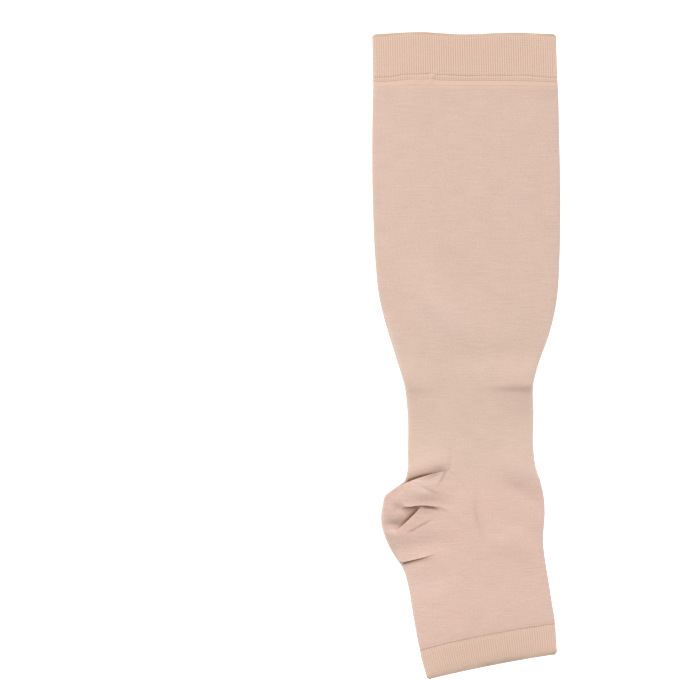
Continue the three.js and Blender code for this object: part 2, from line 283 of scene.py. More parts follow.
# Soft swells and dips: the middle of an oval, its reach along a direction turned by turn degrees, its reach
# across that, and how far it rises or sinks. under names the tuck whose crest lies over it.
Swell = namedtuple("Swell", "name x y turn along across rise under", defaults=(None,))
SWELLS = [
    Swell("heel ball", -52.0, -103.5, 0, 8, 7.5, 2.2),
    Swell("ball crease", -44.9, -104.4, -34, 5.8, 3.0, -2.7),
    Swell("ball fall", -48.6, -115.0, -14, 6.2, 3.2, -2.0),
    Swell("pocket", -37.5, -105.0, 45, 5, 3, -1.8, "heel"),
    Swell("flap hollow", -25.0, -100.3, -8, 9, 5.2, -3.5),
    Swell("heel low hollow", -33.0, -129.5, 6, 24, 7, -1.8),
    Swell("sole rise", -33.0, -145.0, 13, 14, 7, 1.7),
    Swell("side hollow", 52.0, 176.0, -6, 16, 5, -0.7),
    Swell("calf ridge", -22.5, 36.6, -54, 25, 9, 2.7),
    Swell("calf valley", 1.0, 48.0, -50, 25, 9, -1.1),
    Swell("calf wave", 14.0, 0.0, 2, 30, 8, -1.2),
    Swell("back ankle brow", -44.0, -17.0, 0, 16, 12, 2.8),
    Swell("front ankle brow", 46.0, -16.5, 0, 24, 12, 3.3),
    Swell("ankle bulge", -27.0, -78.3, 20, 18, 11, 3.4),
    Swell("back ankle hollow", -30.0, -50.0, 0, 14, 13, -0.7),
    Swell("front ankle hollow", 38.0, -46.0, 0, 16, 12, -1.5),
    Swell("front ankle ridge", 39.0, -77.5, -21, 18, 10, 2.8),
    Swell("instep hollow", 40.0, -95.0, -26, 16, 6, -1.2),
    Swell("instep rise", 30.0, -128.0, -8, 20, 10, 1.7),
    Swell("instep groove", 8.2, -102.0, 92, 13, 2.4, -1.1),
    Swell("instep groove end", 10.4, -115.0, 106, 12, 2.4, -0.9),
    Swell("instep ridge", 14.5, -107.0, 96, 20, 3.2, 0.4),
    Swell("pucker", -23.0, 188.5, 55, 4.0, 1.5, 0.7),
    Swell("pucker tail", -33.0, 187.0, 10, 7.0, 1.4, 0.4),
]
# Painted shade in soft ovals where folds, rims and slopes fall darker, or, where share is below 0, painted
# light where they fall lighter. They are laid out like the swells.
Shade = namedtuple("Shade", "name x y turn along across share")
SHADES = [
    Shade("ankle tuck end", -17.0, -74.9, 12, 4.4, 1.6, 0.2),
    Shade("flap lip", -20.4, -82.1, 18, 4.5, 0.7, 0.4),
    Shade("flap tip", -19.2, -83.7, 22, 5.0, 1.6, -0.2),
    Shade("flap light", -29.7, -91.8, -22, 5.5, 1.9, -0.28),
    Shade("front ankle line", 40.0, -23.0, 0, 13, 3.0, 0.06),
    Shade("heel edge", -47.5, -89.4, 34, 9, 3.5, 0.4),
    Shade("heel tuck end", -16.6, -103.9, -22, 4.5, 0.9, 0.3),
    Shade("under heel tuck", -27.0, -105.9, -3, 7.0, 2.2, 0.18),
    Shade("gore line", -31.5, -115.6, 28.5, 8.0, 0.6, 0.3),
    Shade("heel rim", -56.0, -98.5, 88, 9.0, 3.0, 0.17),
    Shade("ball side rim", -56.3, -109.7, 88, 7.0, 2.2, -0.15),
    Shade("ball side", -45.2, -111.4, 30, 5.5, 2.8, 0.28),
    Shade("ball rim", -48.8, -118.8, 0, 6.0, 1.5, -0.2),
    Shade("pocket", -38.4, -105.9, 45, 4.5, 3.0, 0.12),
    Shade("calf light", -17.5, 27.7, -35, 20, 10, -0.09),
    Shade("ankle light", -28.4, -69.0, 10, 11, 6, -0.07),
    Shade("sole light", -23.5, -156.0, 5, 18, 9, -0.09),
    Shade("instep line", 9.2, -116.0, 104, 9, 2.0, 0.15),
    Shade("front taper rim", 54.5, 6.0, 74, 22, 2.2, -0.25),
    Shade("front ankle rim", 46.5, -46.0, 90, 22, 2.0, -0.2),
    Shade("back taper rim", -50.5, 10.0, -74, 22, 2.6, -0.2),
    Shade("back ankle rim", -39.5, -46.0, 90, 20, 3.0, -0.12),
]
# Long low waves over the whole of the upper layer.
Wave = namedtuple("Wave", "height x_length y_length start")
DRIFT = [Wave(0.16, 31, 47, 0.7), Wave(0.12, -41, 19, 2.1), Wave(0.08, 13, -28, 4.0)]


def oval(spot, x, y):
    """1 in the middle of a swell or shade, falling off along and across it."""
    turn = math.radians(spot.turn)
    along = (x - spot.x) * math.cos(turn) + (y - spot.y) * math.sin(turn)
    across = (y - spot.y) * math.cos(turn) - (x - spot.x) * math.sin(turn)
    return np.exp(-((along / spot.along) ** 2) - (across / spot.across) ** 2)


LEAN_STEP = 3.0  # a tuck leans over fully where its step is this high
# Where it leans less, its line moves over by this share of the rest, so that its lip stays on one curve.
LIP_SHIFT = 0.4


def relief(x, y):
    """What happens to points of the upper layer: how far they move in x, y and z with the tucks that lean
    over, how far they rise with the swells and the other tucks, how much painted shade they take in a
    crease, below 0 for a painted highlight on a crest, and how much painted shade or painted light the
    shade ovals lay on them."""
    dx = np.zeros_like(x)
    dy = np.zeros_like(x)
    dz = np.zeros_like(x)
    swollen = np.zeros_like(x)
    crease = np.zeros_like(x)
    painted_spots = np.zeros_like(x)
    raised = {}
    covered = {}
    for tuck in TUCKS:
        start = np.array(tuck.start)
        way = np.array(tuck.end) - start
        length = np.hypot(*way)
        ux, uy = way / length
        along = ((x - start[0]) * ux + (y - start[1]) * uy) / length
        aside = tuck.side * (ux * (y - start[1]) - uy * (x - start[0]))
        arc = 4 * np.clip(along * (1 - along), 0, 1)  # 0 at both ends and 1 halfway
        aside = aside - tuck.bow * arc
        strength = ramp(along, 0, tuck.rise) * (1 - ramp(along, 1 - tuck.fade, 1))
        lean = tuck.lean * ramp(strength * (tuck.crest + tuck.drop), 0, LEAN_STEP)
        aside = aside + LIP_SHIFT * (tuck.lean - lean)
        on_crest = ramp(aside, -tuck.edge, tuck.edge)
        if tuck.under:
            strength = strength * (1 - raised[tuck.under])
        raised[tuck.name] = strength * on_crest
        covered[tuck.name] = on_crest
        crest = on_crest * tuck.crest * np.exp(-np.maximum(aside, 0) / tuck.crest_reach)
        valley = (1 - on_crest) * tuck.drop * np.exp(-np.maximum(-aside, 0) / tuck.valley_reach)
        over = lean * (1 - 2 * on_crest) * np.exp(-((aside / LEAN_REACH) ** 2))
        dx += over * tuck.side * -uy
        dy += over * tuck.side * ux
        if tuck.lean:
            dz += strength * (crest - valley)
        else:
            swollen += strength * (crest - valley)
        # Painted shade in a tuck's crease and on the knit beside it, and painted highlight along its crest.
        inside = np.exp(-(((aside + CREASE_PLACE) / CREASE_REACH) ** 2))
        beside = (1 - on_crest) * np.exp(-np.maximum(-aside - CREASE_PLACE, 0) / DUSK_REACH)
        dark = tuck.shade * np.exp(-(((along - tuck.dark_at) / tuck.dark_reach) ** 2))
        crease = np.maximum(crease, strength * inside * dark)
        crease = np.maximum(crease, strength * beside * tuck.dusk)
        crease -= strength * tuck.shine * np.exp(-(((aside - SHINE_PLACE) / SHINE_REACH) ** 2))
    for swell in SWELLS:
        swollen += swell.rise * oval(swell, x, y) * (1 - covered[swell.under] if swell.under else 1)
    # Shade ovals: painted shade, or painted light where share is below 0.
    for shade in SHADES:
        painted_spots += shade.share * oval(shade, x, y)
    for wave in DRIFT:
        swollen += wave.height * np.sin(x / wave.x_length + y / wave.y_length + wave.start)
    return dx, dy, dz, swollen, crease, painted_spots


LOOP_STEPS = 20  # points of the flat and of the fold of half a loop, before it is read at the wanted shares
CROWN_STEPS = 3 * LOOP_STEPS
TILT_ROUNDS = 4  # the slope at which the fold passes into the crown is found in so many rounds
FOLD_SOFTNESS = 1.4  # width beside a fold over which the tucks come in
SWELL_START = 0.3  # the swells come in from this share of a fold's height up to its top


def half_loop(half, radius, rim, height):
    """Half a loop from the middle of the lower layer round one fold to the middle of the upper one: its x
    and z, and the shares of the tucks' and the swells' movement that each point takes."""
    tilt = 0.0
    for _ in range(TILT_ROUNDS):
        edge_x = half - rim + rim * math.sin(tilt)
        edge_z = radius + radius * math.cos(tilt)
        tilt = math.atan(CROWN_POWER * (height - edge_z) / edge_x * rim / radius)
    lower_x = np.linspace(0, half - rim, LOOP_STEPS)
    angle = np.linspace(-math.pi / 2, math.pi / 2 - tilt, LOOP_STEPS)[1:]
    t = np.linspace(1, 0, CROWN_STEPS)[1:]
    x = np.concatenate((lower_x, half - rim + rim * np.cos(angle), edge_x * t))
    rise = edge_z + (height - edge_z) * (1 - t**CROWN_POWER)
    z = np.concatenate((np.zeros(LOOP_STEPS), radius + radius * np.sin(angle), rise))
    tucked = np.concatenate((np.zeros(LOOP_STEPS + len(angle)), ramp(edge_x * (1 - t), 0, FOLD_SOFTNESS)))
    swelled = ramp(z, SWELL_START * edge_z, edge_z)
    return x, z, tucked, swelled


def section_loop(place, half, around, inset):
    """One loop round the tube, read at shares of its length from the middle of the lower layer: x across,
    z, and the shares of the tucks' and the swells' movement. inset is the depth below the outer face."""
    front = half_loop(half, place["front_fold"], place["front_fold"], place["height"])
    back = half_loop(half, place["fold"], place["rim"], place["height"])
    x = np.concatenate((front[0], -back[0][-2::-1]))
    z, tucked, swelled = (np.concatenate((f, b[-2::-1])) for f, b in zip(front[1:], back[1:]))
    length = np.concatenate(([0], np.cumsum(np.hypot(np.diff(x), np.diff(z)))))
    share = length / length[-1]
    way_x = np.interp(around, share, np.gradient(x, length))
    way_z = np.interp(around, share, np.gradient(z, length))
    loop_x = np.interp(around, share, x) - inset * way_z
    loop_z = np.interp(around, share, z) + inset * way_x
    return loop_x, loop_z, np.interp(around, share, tucked), np.interp(around, share, swelled)


KNEE_WAVE_BACK = 1.4  # the knee edge rises in two low waves and sags between them
KNEE_WAVE_FRONT = 0.95
KNEE_SAG = 0.55
CORNER_ROUND = 1.2  # the band's corners at the knee edge are rounded off this far
CORNER_REACH = 3.0
CORNER_POWER = 4  # keeps that rounding close to the edge
TOE_LIP = 0.7  # the lower layer shows this much beyond the upper one at the toes
TOE_LIP_POWER = 6  # keeps that lip wide almost to its corners
BAND_ARCH = 0.5  # the knee band's lower edge curves up this far between its corners
SEAM_ARCH = 2.0  # the toe band's join curves in this far between its corners
TOE_ARCH = 1.05  # and the toe edge this far
TOE_ROUND = 1.2  # the toe band's corners are rounded off this far
HEM_LINE = 29.2  # distance down to the pressed line where the knee band's turned-down edge is caught
HEM_SPREAD = 2.6
HEM_WANDER = {  # how far up the leg that line strays, by distance across
    "across": [-60, -50, -44, -33, -28, -10, 0, 44, 52, 60],
    "up": [-0.8, -0.7, 0.3, 0.1, 0.5, 0.3, -0.1, 0.1, -0.5, -0.8],
}
PUCKERS = [(0.9, -34.0, 11.0), (1.2, -23.0, 2.6)]  # height, middle and reach of each pull in the seam
PUCKER_SPREAD = 6.0
LEAST_HEIGHT = 1.8  # the upper layer never sinks lower than this
LEAST_SOFTNESS = 0.8
PAINTED_SPOTS_FROM = 0.5  # shades run out on a fold between these shares of its half height
PAINTED_SPOTS_TO = 1.2


def tube_points(down, inset, around):
    """The tube's points in millimetres and the painted shade and highlight at each: a row for each distance
    down the leg and its inset, a column for each share round the tube."""
    rows = []
    for distance, depth in zip(down, inset):
        place = {name: through_rows(name, distance) for name in columns}
        span_x = place["front_x"] - place["back_x"]
        span_y = place["front_y"] - place["back_y"]
        span = math.hypot(span_x, span_y)
        across_x, across_y = span_x / span, span_y / span
        half = span / 2
        loop_x, loop_z, upper, open_share = section_loop(place, half, around, depth)
        t = loop_x / half
        inner = np.clip(t, -1, 1)
        at_corner = ramp(abs(loop_x), half - CORNER_REACH, half) ** 2
        at_knee = 1 - min(max(distance / DOWN["band end"], 0), 1)
        at_toes = min(max((distance - DOWN["toe seam"]) / (DOWN["toe edge"] - DOWN["toe seam"]), 0), 1)
        at_seam = math.exp(-(((distance - DOWN["band end"]) / PUCKER_SPREAD) ** 2))
        waves = np.sin(np.pi * t) ** 2 * np.where(t < 0, KNEE_WAVE_BACK, KNEE_WAVE_FRONT)
        up = (waves - KNEE_SAG * np.cos(np.pi * t / 2) ** 2) * at_knee
        up = up - CORNER_ROUND * at_corner * at_knee**CORNER_POWER
        arch_rows = [DOWN["mid foot"], DOWN["toe seam"], DOWN["toe edge"]]
        arch = np.interp(distance, arch_rows, [0, SEAM_ARCH, TOE_ARCH])
        up = up + arch * (1 - inner**2)
        up = up + TOE_LIP * at_toes * upper * (1 - inner**TOE_LIP_POWER)
        up = up + TOE_ROUND * at_corner * at_toes**CORNER_POWER
        at_hem = math.exp(-(((distance - HEM_LINE) / HEM_SPREAD) ** 2))
        up = up + at_hem * np.interp(loop_x, HEM_WANDER["across"], HEM_WANDER["up"])
        up = up + BAND_ARCH * at_seam * (1 - inner**2)
        for height, middle, reach in PUCKERS:
            up = up + upper * at_seam * height * np.exp(-(((loop_x - middle) / reach) ** 2))
        x = (place["front_x"] + place["back_x"]) / 2 + across_x * loop_x - across_y * up
        y = (place["front_y"] + place["back_y"]) / 2 + across_y * loop_x + across_x * up
        dx, dy, dz, swollen, crease, painted_spots = relief(x, y)
        lifted = loop_z + upper * dz + swollen - (LEAST_HEIGHT - depth)
        kept_up = (LEAST_HEIGHT - depth) + (lifted + np.sqrt(lifted**2 + LEAST_SOFTNESS**2)) / 2
        z = np.maximum(loop_z + open_share * (kept_up - loop_z), 0)
        on_fold = ramp(loop_z, PAINTED_SPOTS_FROM * place["fold"], PAINTED_SPOTS_TO * place["fold"])
        # The painted shade and highlight that the leg's colour takes: the tucks' on the upper layer only,
        # the ovals' over the folds too.
        shade = upper * crease + np.maximum(upper, on_fold) * painted_spots
        rows.append(np.stack((x + upper * dx, y + upper * dy, z, shade), axis=1))
    return np.array(rows)


def tube_piece(name, points, around, down, closed, finish):
    """A mesh through rows of points. closed joins its last row to the first. Its UV map holds the share
    round the tube and the distance down the leg in metres."""
    row_count, column_count = points.shape[:2]
    row = np.arange(row_count if closed else row_count - 1)[:, None]
    column = np.arange(column_count)[None, :]
    next_row = (row + 1) % row_count
    next_column = (column + 1) % column_count
    corners = [(row, column), (row, next_column), (next_row, next_column), (next_row, column)]
    faces = np.stack([r * column_count + c for r, c in corners], axis=-1).reshape(-1, 4)
    mesh = bpy.data.meshes.new(name)
    mesh.from_pydata((points[:, :, :3].reshape(-1, 3) * MM).tolist(), [], faces.tolist())
    wrapped = np.append(around, 1 + around[0])
    grid = (len(row), column_count)
    u = [np.broadcast_to(wrapped[c], grid) for c in (column, column + 1, column + 1, column)]
    v = [np.broadcast_to(down[r] * MM, grid) for r in (row, row, next_row, next_row)]
    uv = np.stack((np.stack(u, axis=-1), np.stack(v, axis=-1)), axis=-1)
    mesh.uv_layers.new(name="knit").uv.foreach_set("vector", uv.ravel())
    # crease carries the painted shade and painted highlight that the leg's colour takes.
    for label, values in {"around": np.tile(around, row_count), "crease": points[:, :, 3].ravel()}.items():
        attribute = mesh.attributes.new(label, "FLOAT", "POINT")
        attribute.data.foreach_set("value", values)
    mesh.materials.append(finish)
    piece = bpy.data.objects.new(name, mesh)
    scene.collection.objects.link(piece)
    return piece


def settle(piece, sharp_degrees):
    """Makes a piece and its modifiers one plain smooth mesh, with edges kept sharp above an angle."""
    shaped = piece.evaluated_get(bpy.context.evaluated_depsgraph_get())
    mesh = bpy.data.meshes.new_from_object(shaped)
    piece.modifiers.clear()
    piece.data = mesh
    mesh.shade_smooth()
    mesh.set_sharp_from_angle(angle=math.radians(sharp_degrees))


# Fine knit: wales run down the leg and courses round it, with lighter and darker courses, a grain and a
# little mottle. Over it lie painted shade in and beside the tucks and in the darker shade ovals, and
# painted highlight along the tucks' crests and in the lighter ovals.
LEG_LIGHT = (0.810, 0.603, 0.491, 1)
LEG_DEEP = (0.575, 0.417, 0.344, 1)
LEG_ROSY = (0.888, 0.609, 0.511, 1)
LEG_WELT = (0.860, 0.640, 0.505, 1)
# painted highlight for the tucks' crests and the lighter ovals
LEG_PAINTED_HIGHLIGHT = (1.000, 0.830, 0.740, 1)
# painted shade for the tucks' creases and the darker ovals
LEG_PAINTED_SHADE = (0.230, 0.130, 0.092, 1)
WALES = 400
COURSE = 0.5 * MM
LEG_START = DOWN["band end"] + 2.2  # the leg's first row lies under the seam's roll
STREAK = 2 * COURSE  # courses that are lighter or darker together
STREAKS_ROUND = 16  # and how often that changes round the tube
GRAIN_ROUND = 170
MOTTLE_SCALE = 90.0
ROSY_SCALE = 40.0
STREAK_SHARE = 0.35  # what streaks, mottle and grain add to the knit's changes
MOTTLE_SHARE = 0.15
GRAIN_SHARE = 0.5
CONTRAST = 1.6
PLAIN_DEEP = 0.6  # how far the plain knit goes to its deep colour
STITCH_LIGHT = 0.2  # and how far the top of a stitch comes back from it
STITCH_LEAST = 0.6  # height of a wale between its stitches
CALF_ROSY = 0.3
FOOT_ROSY = 0.8
ROSY_PATCHES = 0.4
TOE_LINE = 1.0  # the last rows of the foot are drawn in and darker over this length
TOE_LINE_DEEP = 0.25
WELT = 4.5  # the first rows below the band are this long, and lighter
WELT_LIGHT = 0.15
# how far the painted shade goes towards its colour
PAINTED_SHADE_SHARE = 0.85
KNIT_BUMP = 0.15 * MM
MOTTLE_BUMP = 0.3  # height of the mottle beside that of a stitch
leg_finish, leg_wire = new_finish("leg_knit")
leg_uv = leg_wire.node("ShaderNodeUVMap", {"uv_map": "knit"})
leg_u = leg_wire.node("ShaderNodeSeparateXYZ", None, {0: leg_uv}, 0)
leg_v = leg_wire.node("ShaderNodeSeparateXYZ", None, {0: leg_uv}, 1)
leg_place = leg_wire.node("ShaderNodeTexCoord", None, None, "Object")
# the painted shade and painted highlight of the tucks and the shade ovals
painted_shade_and_highlight = leg_wire.node("ShaderNodeAttribute", {"attribute_name": "crease"}, None, "Fac")
wale = leg_u * WALES
rib_of_wale = abs((wale * math.pi).sine())
chevron = abs(wale.math("FRACT", wale) - 0.5)
stitch = ((leg_v / COURSE + chevron) * (2 * math.pi)).sine() * 0.5 + 0.5
stitch_height = rib_of_wale * (stitch * (1 - STITCH_LEAST) + STITCH_LEAST)


def noise(wire, place, scale, detail):
    """Soft random changes, from 0 to 1 with 0.5 in the middle."""
    return wire.node("ShaderNodeTexNoise", None, {"Vector": place, "Scale": scale, "Detail": detail})


def knit_noise(wire, u, v, detail, level):
    """The same, drawn out along the knit: u and v are counted in changes round it and down it."""
    return noise(wire, wire.node("ShaderNodeCombineXYZ", None, {0: u, 1: v, 2: level}), 1.0, detail)


courses = knit_noise(leg_wire, leg_u * STREAKS_ROUND, leg_v / STREAK, detail=3.0, level=0.0)
grain = knit_noise(leg_wire, leg_u * GRAIN_ROUND, leg_v / STREAK, detail=2.0, level=4.0)
mottle = noise(leg_wire, leg_place, MOTTLE_SCALE, detail=4.0)
rosy = noise(leg_wire, leg_place, ROSY_SCALE, detail=2.0)
changes = courses * STREAK_SHARE + mottle * MOTTLE_SHARE + grain * GRAIN_SHARE - 0.5
deep_share = changes * CONTRAST + PLAIN_DEEP - stitch_height * STITCH_LIGHT


def from_to(wire, value, ends, results):
    """Goes smoothly from one result to another as value passes between two ends."""
    inputs = {"From Min": ends[0], "From Max": ends[1], "To Min": results[0], "To Max": results[1]}
    return wire.node("ShaderNodeMapRange", {"interpolation_type": "SMOOTHSTEP"}, {"Value": value, **inputs})


calf_ends = (DOWN["lower calf"] * MM, DOWN["ankle top"] * MM)
foot_ends = (DOWN["low ankle"] * MM, DOWN["heel shoulder"] * MM)
welt_ends = (LEG_START * MM, (LEG_START + WELT) * MM)
toe_line_ends = ((DOWN["toe seam"] - TOE_LINE) * MM, DOWN["toe seam"] * MM)
calf_rosy = from_to(leg_wire, leg_v, calf_ends, (CALF_ROSY, 0.0))
foot_rosy = from_to(leg_wire, leg_v, foot_ends, (0.0, FOOT_ROSY))
welt = from_to(leg_wire, leg_v, welt_ends, (WELT_LIGHT, 0.0))
toe_line = from_to(leg_wire, leg_v, toe_line_ends, (0.0, TOE_LINE_DEEP))
rosy_share = calf_rosy + foot_rosy + rosy * ROSY_PATCHES - ROSY_PATCHES / 2
leg_colour = leg_wire.mix(rosy_share, LEG_LIGHT, LEG_ROSY)
leg_colour = leg_wire.mix(deep_share, leg_colour, LEG_DEEP)
leg_colour = leg_wire.mix(welt, leg_colour, LEG_WELT)
leg_colour = leg_wire.mix(toe_line, leg_colour, LEG_DEEP)
# Painted highlight, then painted shade, laid over the knit's colour.
leg_colour = leg_wire.mix(painted_shade_and_highlight * -1, leg_colour, LEG_PAINTED_HIGHLIGHT)
leg_colour = leg_wire.mix(painted_shade_and_highlight * PAINTED_SHADE_SHARE, leg_colour, LEG_PAINTED_SHADE)


def bump(wire, strength, distance, height):
    """Fine relief that is too small for the mesh."""
    inputs = {"Strength": strength, "Distance": distance, "Height": height}
    return wire.node("ShaderNodeBump", None, inputs)


leg_bump = bump(leg_wire, strength=0.35, distance=KNIT_BUMP, height=stitch_height + mottle * MOTTLE_BUMP)
CLOTH = {"Sheen Weight": 0.6, "Sheen Roughness": 0.4, "Specular IOR Level": 0.2}
close_finish(leg_wire, {"Base Color": leg_colour, "Roughness": 0.85, "Normal": leg_bump, **CLOTH})

# Rows are close together round the heel, and columns on the heel's side of the upper layer. A stretch of
# rows has its end and its step, and a stretch of columns its two ends and its count.
LEG_STRETCHES = [
    (LEG_START + 3.0, 0.5),
    (DOWN["ankle top"] - 6, 4.5),
    (DOWN["ankle top"] + 14, 1.1),
    (DOWN["above notch"] - 9, 4.0),
    (DOWN["sole tuck"], 0.46),
    (DOWN["instep"], 1.2),
    (DOWN["toe seam"], 2.5),
]
AROUND_STRETCHES = [
    (0.0, 0.225, 13),
    (0.225, 0.285, 9),
    (0.285, 0.5, 42),
    (0.5, 0.715, 96),
    (0.715, 0.775, 14),
    (0.775, 1.0, 13),
]
leg_down = [LEG_START]
for end, step in LEG_STRETCHES:
    leg_down.extend(np.linspace(leg_down[-1], end, max(2, round((end - leg_down[-1]) / step)))[1:])
leg_down = np.array(leg_down)
leg_shares = [np.linspace(low, high, count, endpoint=False) for low, high, count in AROUND_STRETCHES]
leg_around = np.concatenate(leg_shares)
SEAM_DIP = 0.35  # the knit's end rows roll in towards the toe band
SEAM_DIP_REACH = 1.5
KNEE_DIP = 0.15  # and towards the knee band, between these distances from their start
KNEE_DIP_FROM = 0.6
KNEE_DIP_TO = 2.6
leg_inset = SEAM_DIP * ramp(leg_down, DOWN["toe seam"] - SEAM_DIP_REACH, DOWN["toe seam"])
leg_inset += KNEE_DIP * (1 - ramp(leg_down, LEG_START + KNEE_DIP_FROM, LEG_START + KNEE_DIP_TO))
leg_points = tube_points(leg_down, leg_inset, leg_around)
leg = tube_piece("leg_and_heel_knit", leg_points, leg_around, leg_down, False, leg_finish)
wall = leg.modifiers.new("wall", "SOLIDIFY")
wall.thickness = WALL * MM
wall.offset = -1
settle(leg, sharp_degrees=60)
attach(leg, "root")
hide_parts("leg_and_foot", "heel_pocket")

# Toe band and knee band
# The toes come out through a rib band, and the knee edge is a deeper rib band turned down double. Both are
# knitted on, with fine ribs running up and down that close up into grooves. Painted shade darkens the
# grooves, the sunk lines where the bands are caught or joined, and their free edges.
# painted shade for the grooves between the ribs
RIB_GROOVE_SHADE = (0.500, 0.345, 0.262, 1)
RIB_LIGHT = (0.800, 0.590, 0.464, 1)
RIB_ROSY = (0.748, 0.534, 0.428, 1)
# painted shade for the sunk lines and free edges
RIB_LINE_SHADE = (0.430, 0.285, 0.210, 1)
RIB_COURSE = 1.6 * MM
RIB_STREAKS_ROUND = 14
RIB_MOTTLE_SCALE = 130.0
RIB_PATCH_SCALE = 60.0
RIB_MOTTLE_ROSY = 0.5
RIB_STREAK_ROSY = 0.4
TOE_RIB_ROSY = 0.35
GROOVE_LEAST = 0.2  # how much painted shade a groove takes between its courses
GROOVE_COURSE = 0.45  # and how much more at each course
LINE_PATCHES = 0.9  # the painted shade along a line is darker and lighter in patches
LINE_LIGHT = 0.15
RIB_MOTTLE_BUMP = 0.6  # height of the mottle beside that of a course
rib_finish, rib_wire = new_finish("rib_knit")
rib_uv = rib_wire.node("ShaderNodeUVMap", {"uv_map": "knit"})
rib_v = rib_wire.node("ShaderNodeSeparateXYZ", None, {0: rib_uv}, 1)
rib_u = rib_wire.node("ShaderNodeSeparateXYZ", None, {0: rib_uv}, 0)
rib_place = rib_wire.node("ShaderNodeTexCoord", None, None, "Object")
groove = rib_wire.node("ShaderNodeAttribute", {"attribute_name": "groove"}, None, "Fac")
# the painted shade along sunk lines and free edges
painted_line_shade = rib_wire.node("ShaderNodeAttribute", {"attribute_name": "painted_line_shade"}, None, "Fac")
rib_course = ((rib_v / RIB_COURSE) * (2 * math.pi)).sine() * 0.5 + 0.5
rib_streak = knit_noise(rib_wire, rib_u * RIB_STREAKS_ROUND, rib_v / STREAK, detail=3.0, level=0.0)
rib_mottle = noise(rib_wire, rib_place, RIB_MOTTLE_SCALE, detail=4.0)
rib_patch = noise(rib_wire, rib_place, RIB_PATCH_SCALE, detail=1.0)
toe_ends = (DOWN["mid foot"] * MM, DOWN["toe seam"] * MM)
toe_rosy = from_to(rib_wire, rib_v, toe_ends, (0.0, TOE_RIB_ROSY))
rib_rosy = rib_mottle * RIB_MOTTLE_ROSY + rib_streak * RIB_STREAK_ROSY + toe_rosy
rib_colour = rib_wire.mix(rib_rosy, RIB_LIGHT, RIB_ROSY)
# painted shade in the grooves, deeper at each course
rib_colour = rib_wire.mix(groove * (rib_course * GROOVE_COURSE + GROOVE_LEAST), rib_colour, RIB_GROOVE_SHADE)
# painted shade along the sunk lines and free edges
rib_colour = rib_wire.mix(painted_line_shade * (rib_patch * LINE_PATCHES - LINE_LIGHT), rib_colour, RIB_LINE_SHADE)
rib_height = rib_course + rib_mottle * RIB_MOTTLE_BUMP
rib_bump = bump(rib_wire, strength=0.4, distance=KNIT_BUMP, height=rib_height)
close_finish(rib_wire, {"Base Color": rib_colour, "Roughness": 0.88, "Normal": rib_bump, **CLOTH})


def new_tree(name, inputs):
    """A geometry tree with named inputs, its wire, and the wires of its geometry and of those inputs."""
    tree = bpy.data.node_groups.new(name, "GeometryNodeTree")
    tree.interface.new_socket("Geometry", in_out="INPUT", socket_type="NodeSocketGeometry")
    for label, kind in inputs.items():
        tree.interface.new_socket(label, in_out="INPUT", socket_type=kind)
    tree.interface.new_socket("Geometry", in_out="OUTPUT", socket_type="NodeSocketGeometry")
    entry = tree.nodes.new("NodeGroupInput")
    return tree, Wire(tree), {socket.name: Wire(tree, socket) for socket in entry.outputs if socket.name}


def close_tree(wire, geometry, finish):
    """Ends a geometry tree in plain geometry with one material."""
    real = wire.node("GeometryNodeRealizeInstances", None, {0: geometry})
    dressed = wire.node("GeometryNodeSetMaterial", None, {"Geometry": real, "Material": finish})
    wire.node("NodeGroupOutput", None, {0: dressed})


def apply_tree(piece, tree, values):
    """Puts a geometry tree on a piece, with values for its named inputs."""
    modifier = piece.modifiers.new(tree.name, "NODES")
    modifier.node_group = tree
    for item in tree.interface.items_tree:
        if item.in_out == "INPUT" and item.name in values:
            modifier[item.identifier] = values[item.name]


RIB_INPUTS = {"Rib count": "NodeSocketFloat", "Rib depth": "NodeSocketFloat"}
rib_tree, ribbing, given = new_tree("ribs", RIB_INPUTS)
around_share = ribbing.node("GeometryNodeInputNamedAttribute", {"data_type": "FLOAT"}, {"Name": "around"})
outside = ribbing.node("GeometryNodeInputNamedAttribute", {"data_type": "FLOAT"}, {"Name": "outside"})
RIB_ROUNDNESS = 0.7  # below 1 narrows the grooves between the ribs
ridge = abs((around_share * given["Rib count"] * math.pi).sine()) ** RIB_ROUNDNESS
sunk = (1 - ridge) * outside
facing = ribbing.node("GeometryNodeInputNormal")
inward = ribbing.node(
    "ShaderNodeVectorMath",
    {"operation": "SCALE"},
    {"Vector": facing, "Scale": sunk * given["Rib depth"] * -1},
)
ribbed = ribbing.node("GeometryNodeSetPosition", None, {"Geometry": given["Geometry"], "Offset": inward})
# groove is stored for the painted shade in the grooves
marked = ribbing.node(
    "GeometryNodeStoreNamedAttribute",
    {"data_type": "FLOAT", "domain": "POINT"},
    {"Geometry": ribbed, "Name": "groove", "Value": sunk},
)
close_tree(ribbing, marked, rib_finish)

RIB_POINTS = 8  # mesh columns for each rib
INNER_RIBS = 0.3  # how far the ribs show on the inner face
EDGE_RIBS = 0.35  # and round a free edge
EDGE_REACH = 4.5  # the ribs come out fully this far from it
# A band's wall is a ring of rows. Each has its distance down the leg, its depth below the outer face, how
# far the ribs show, and how much painted shade it takes along a sunk line or a free edge.
BandRow = namedtuple("BandRow", "down inset ribs line")


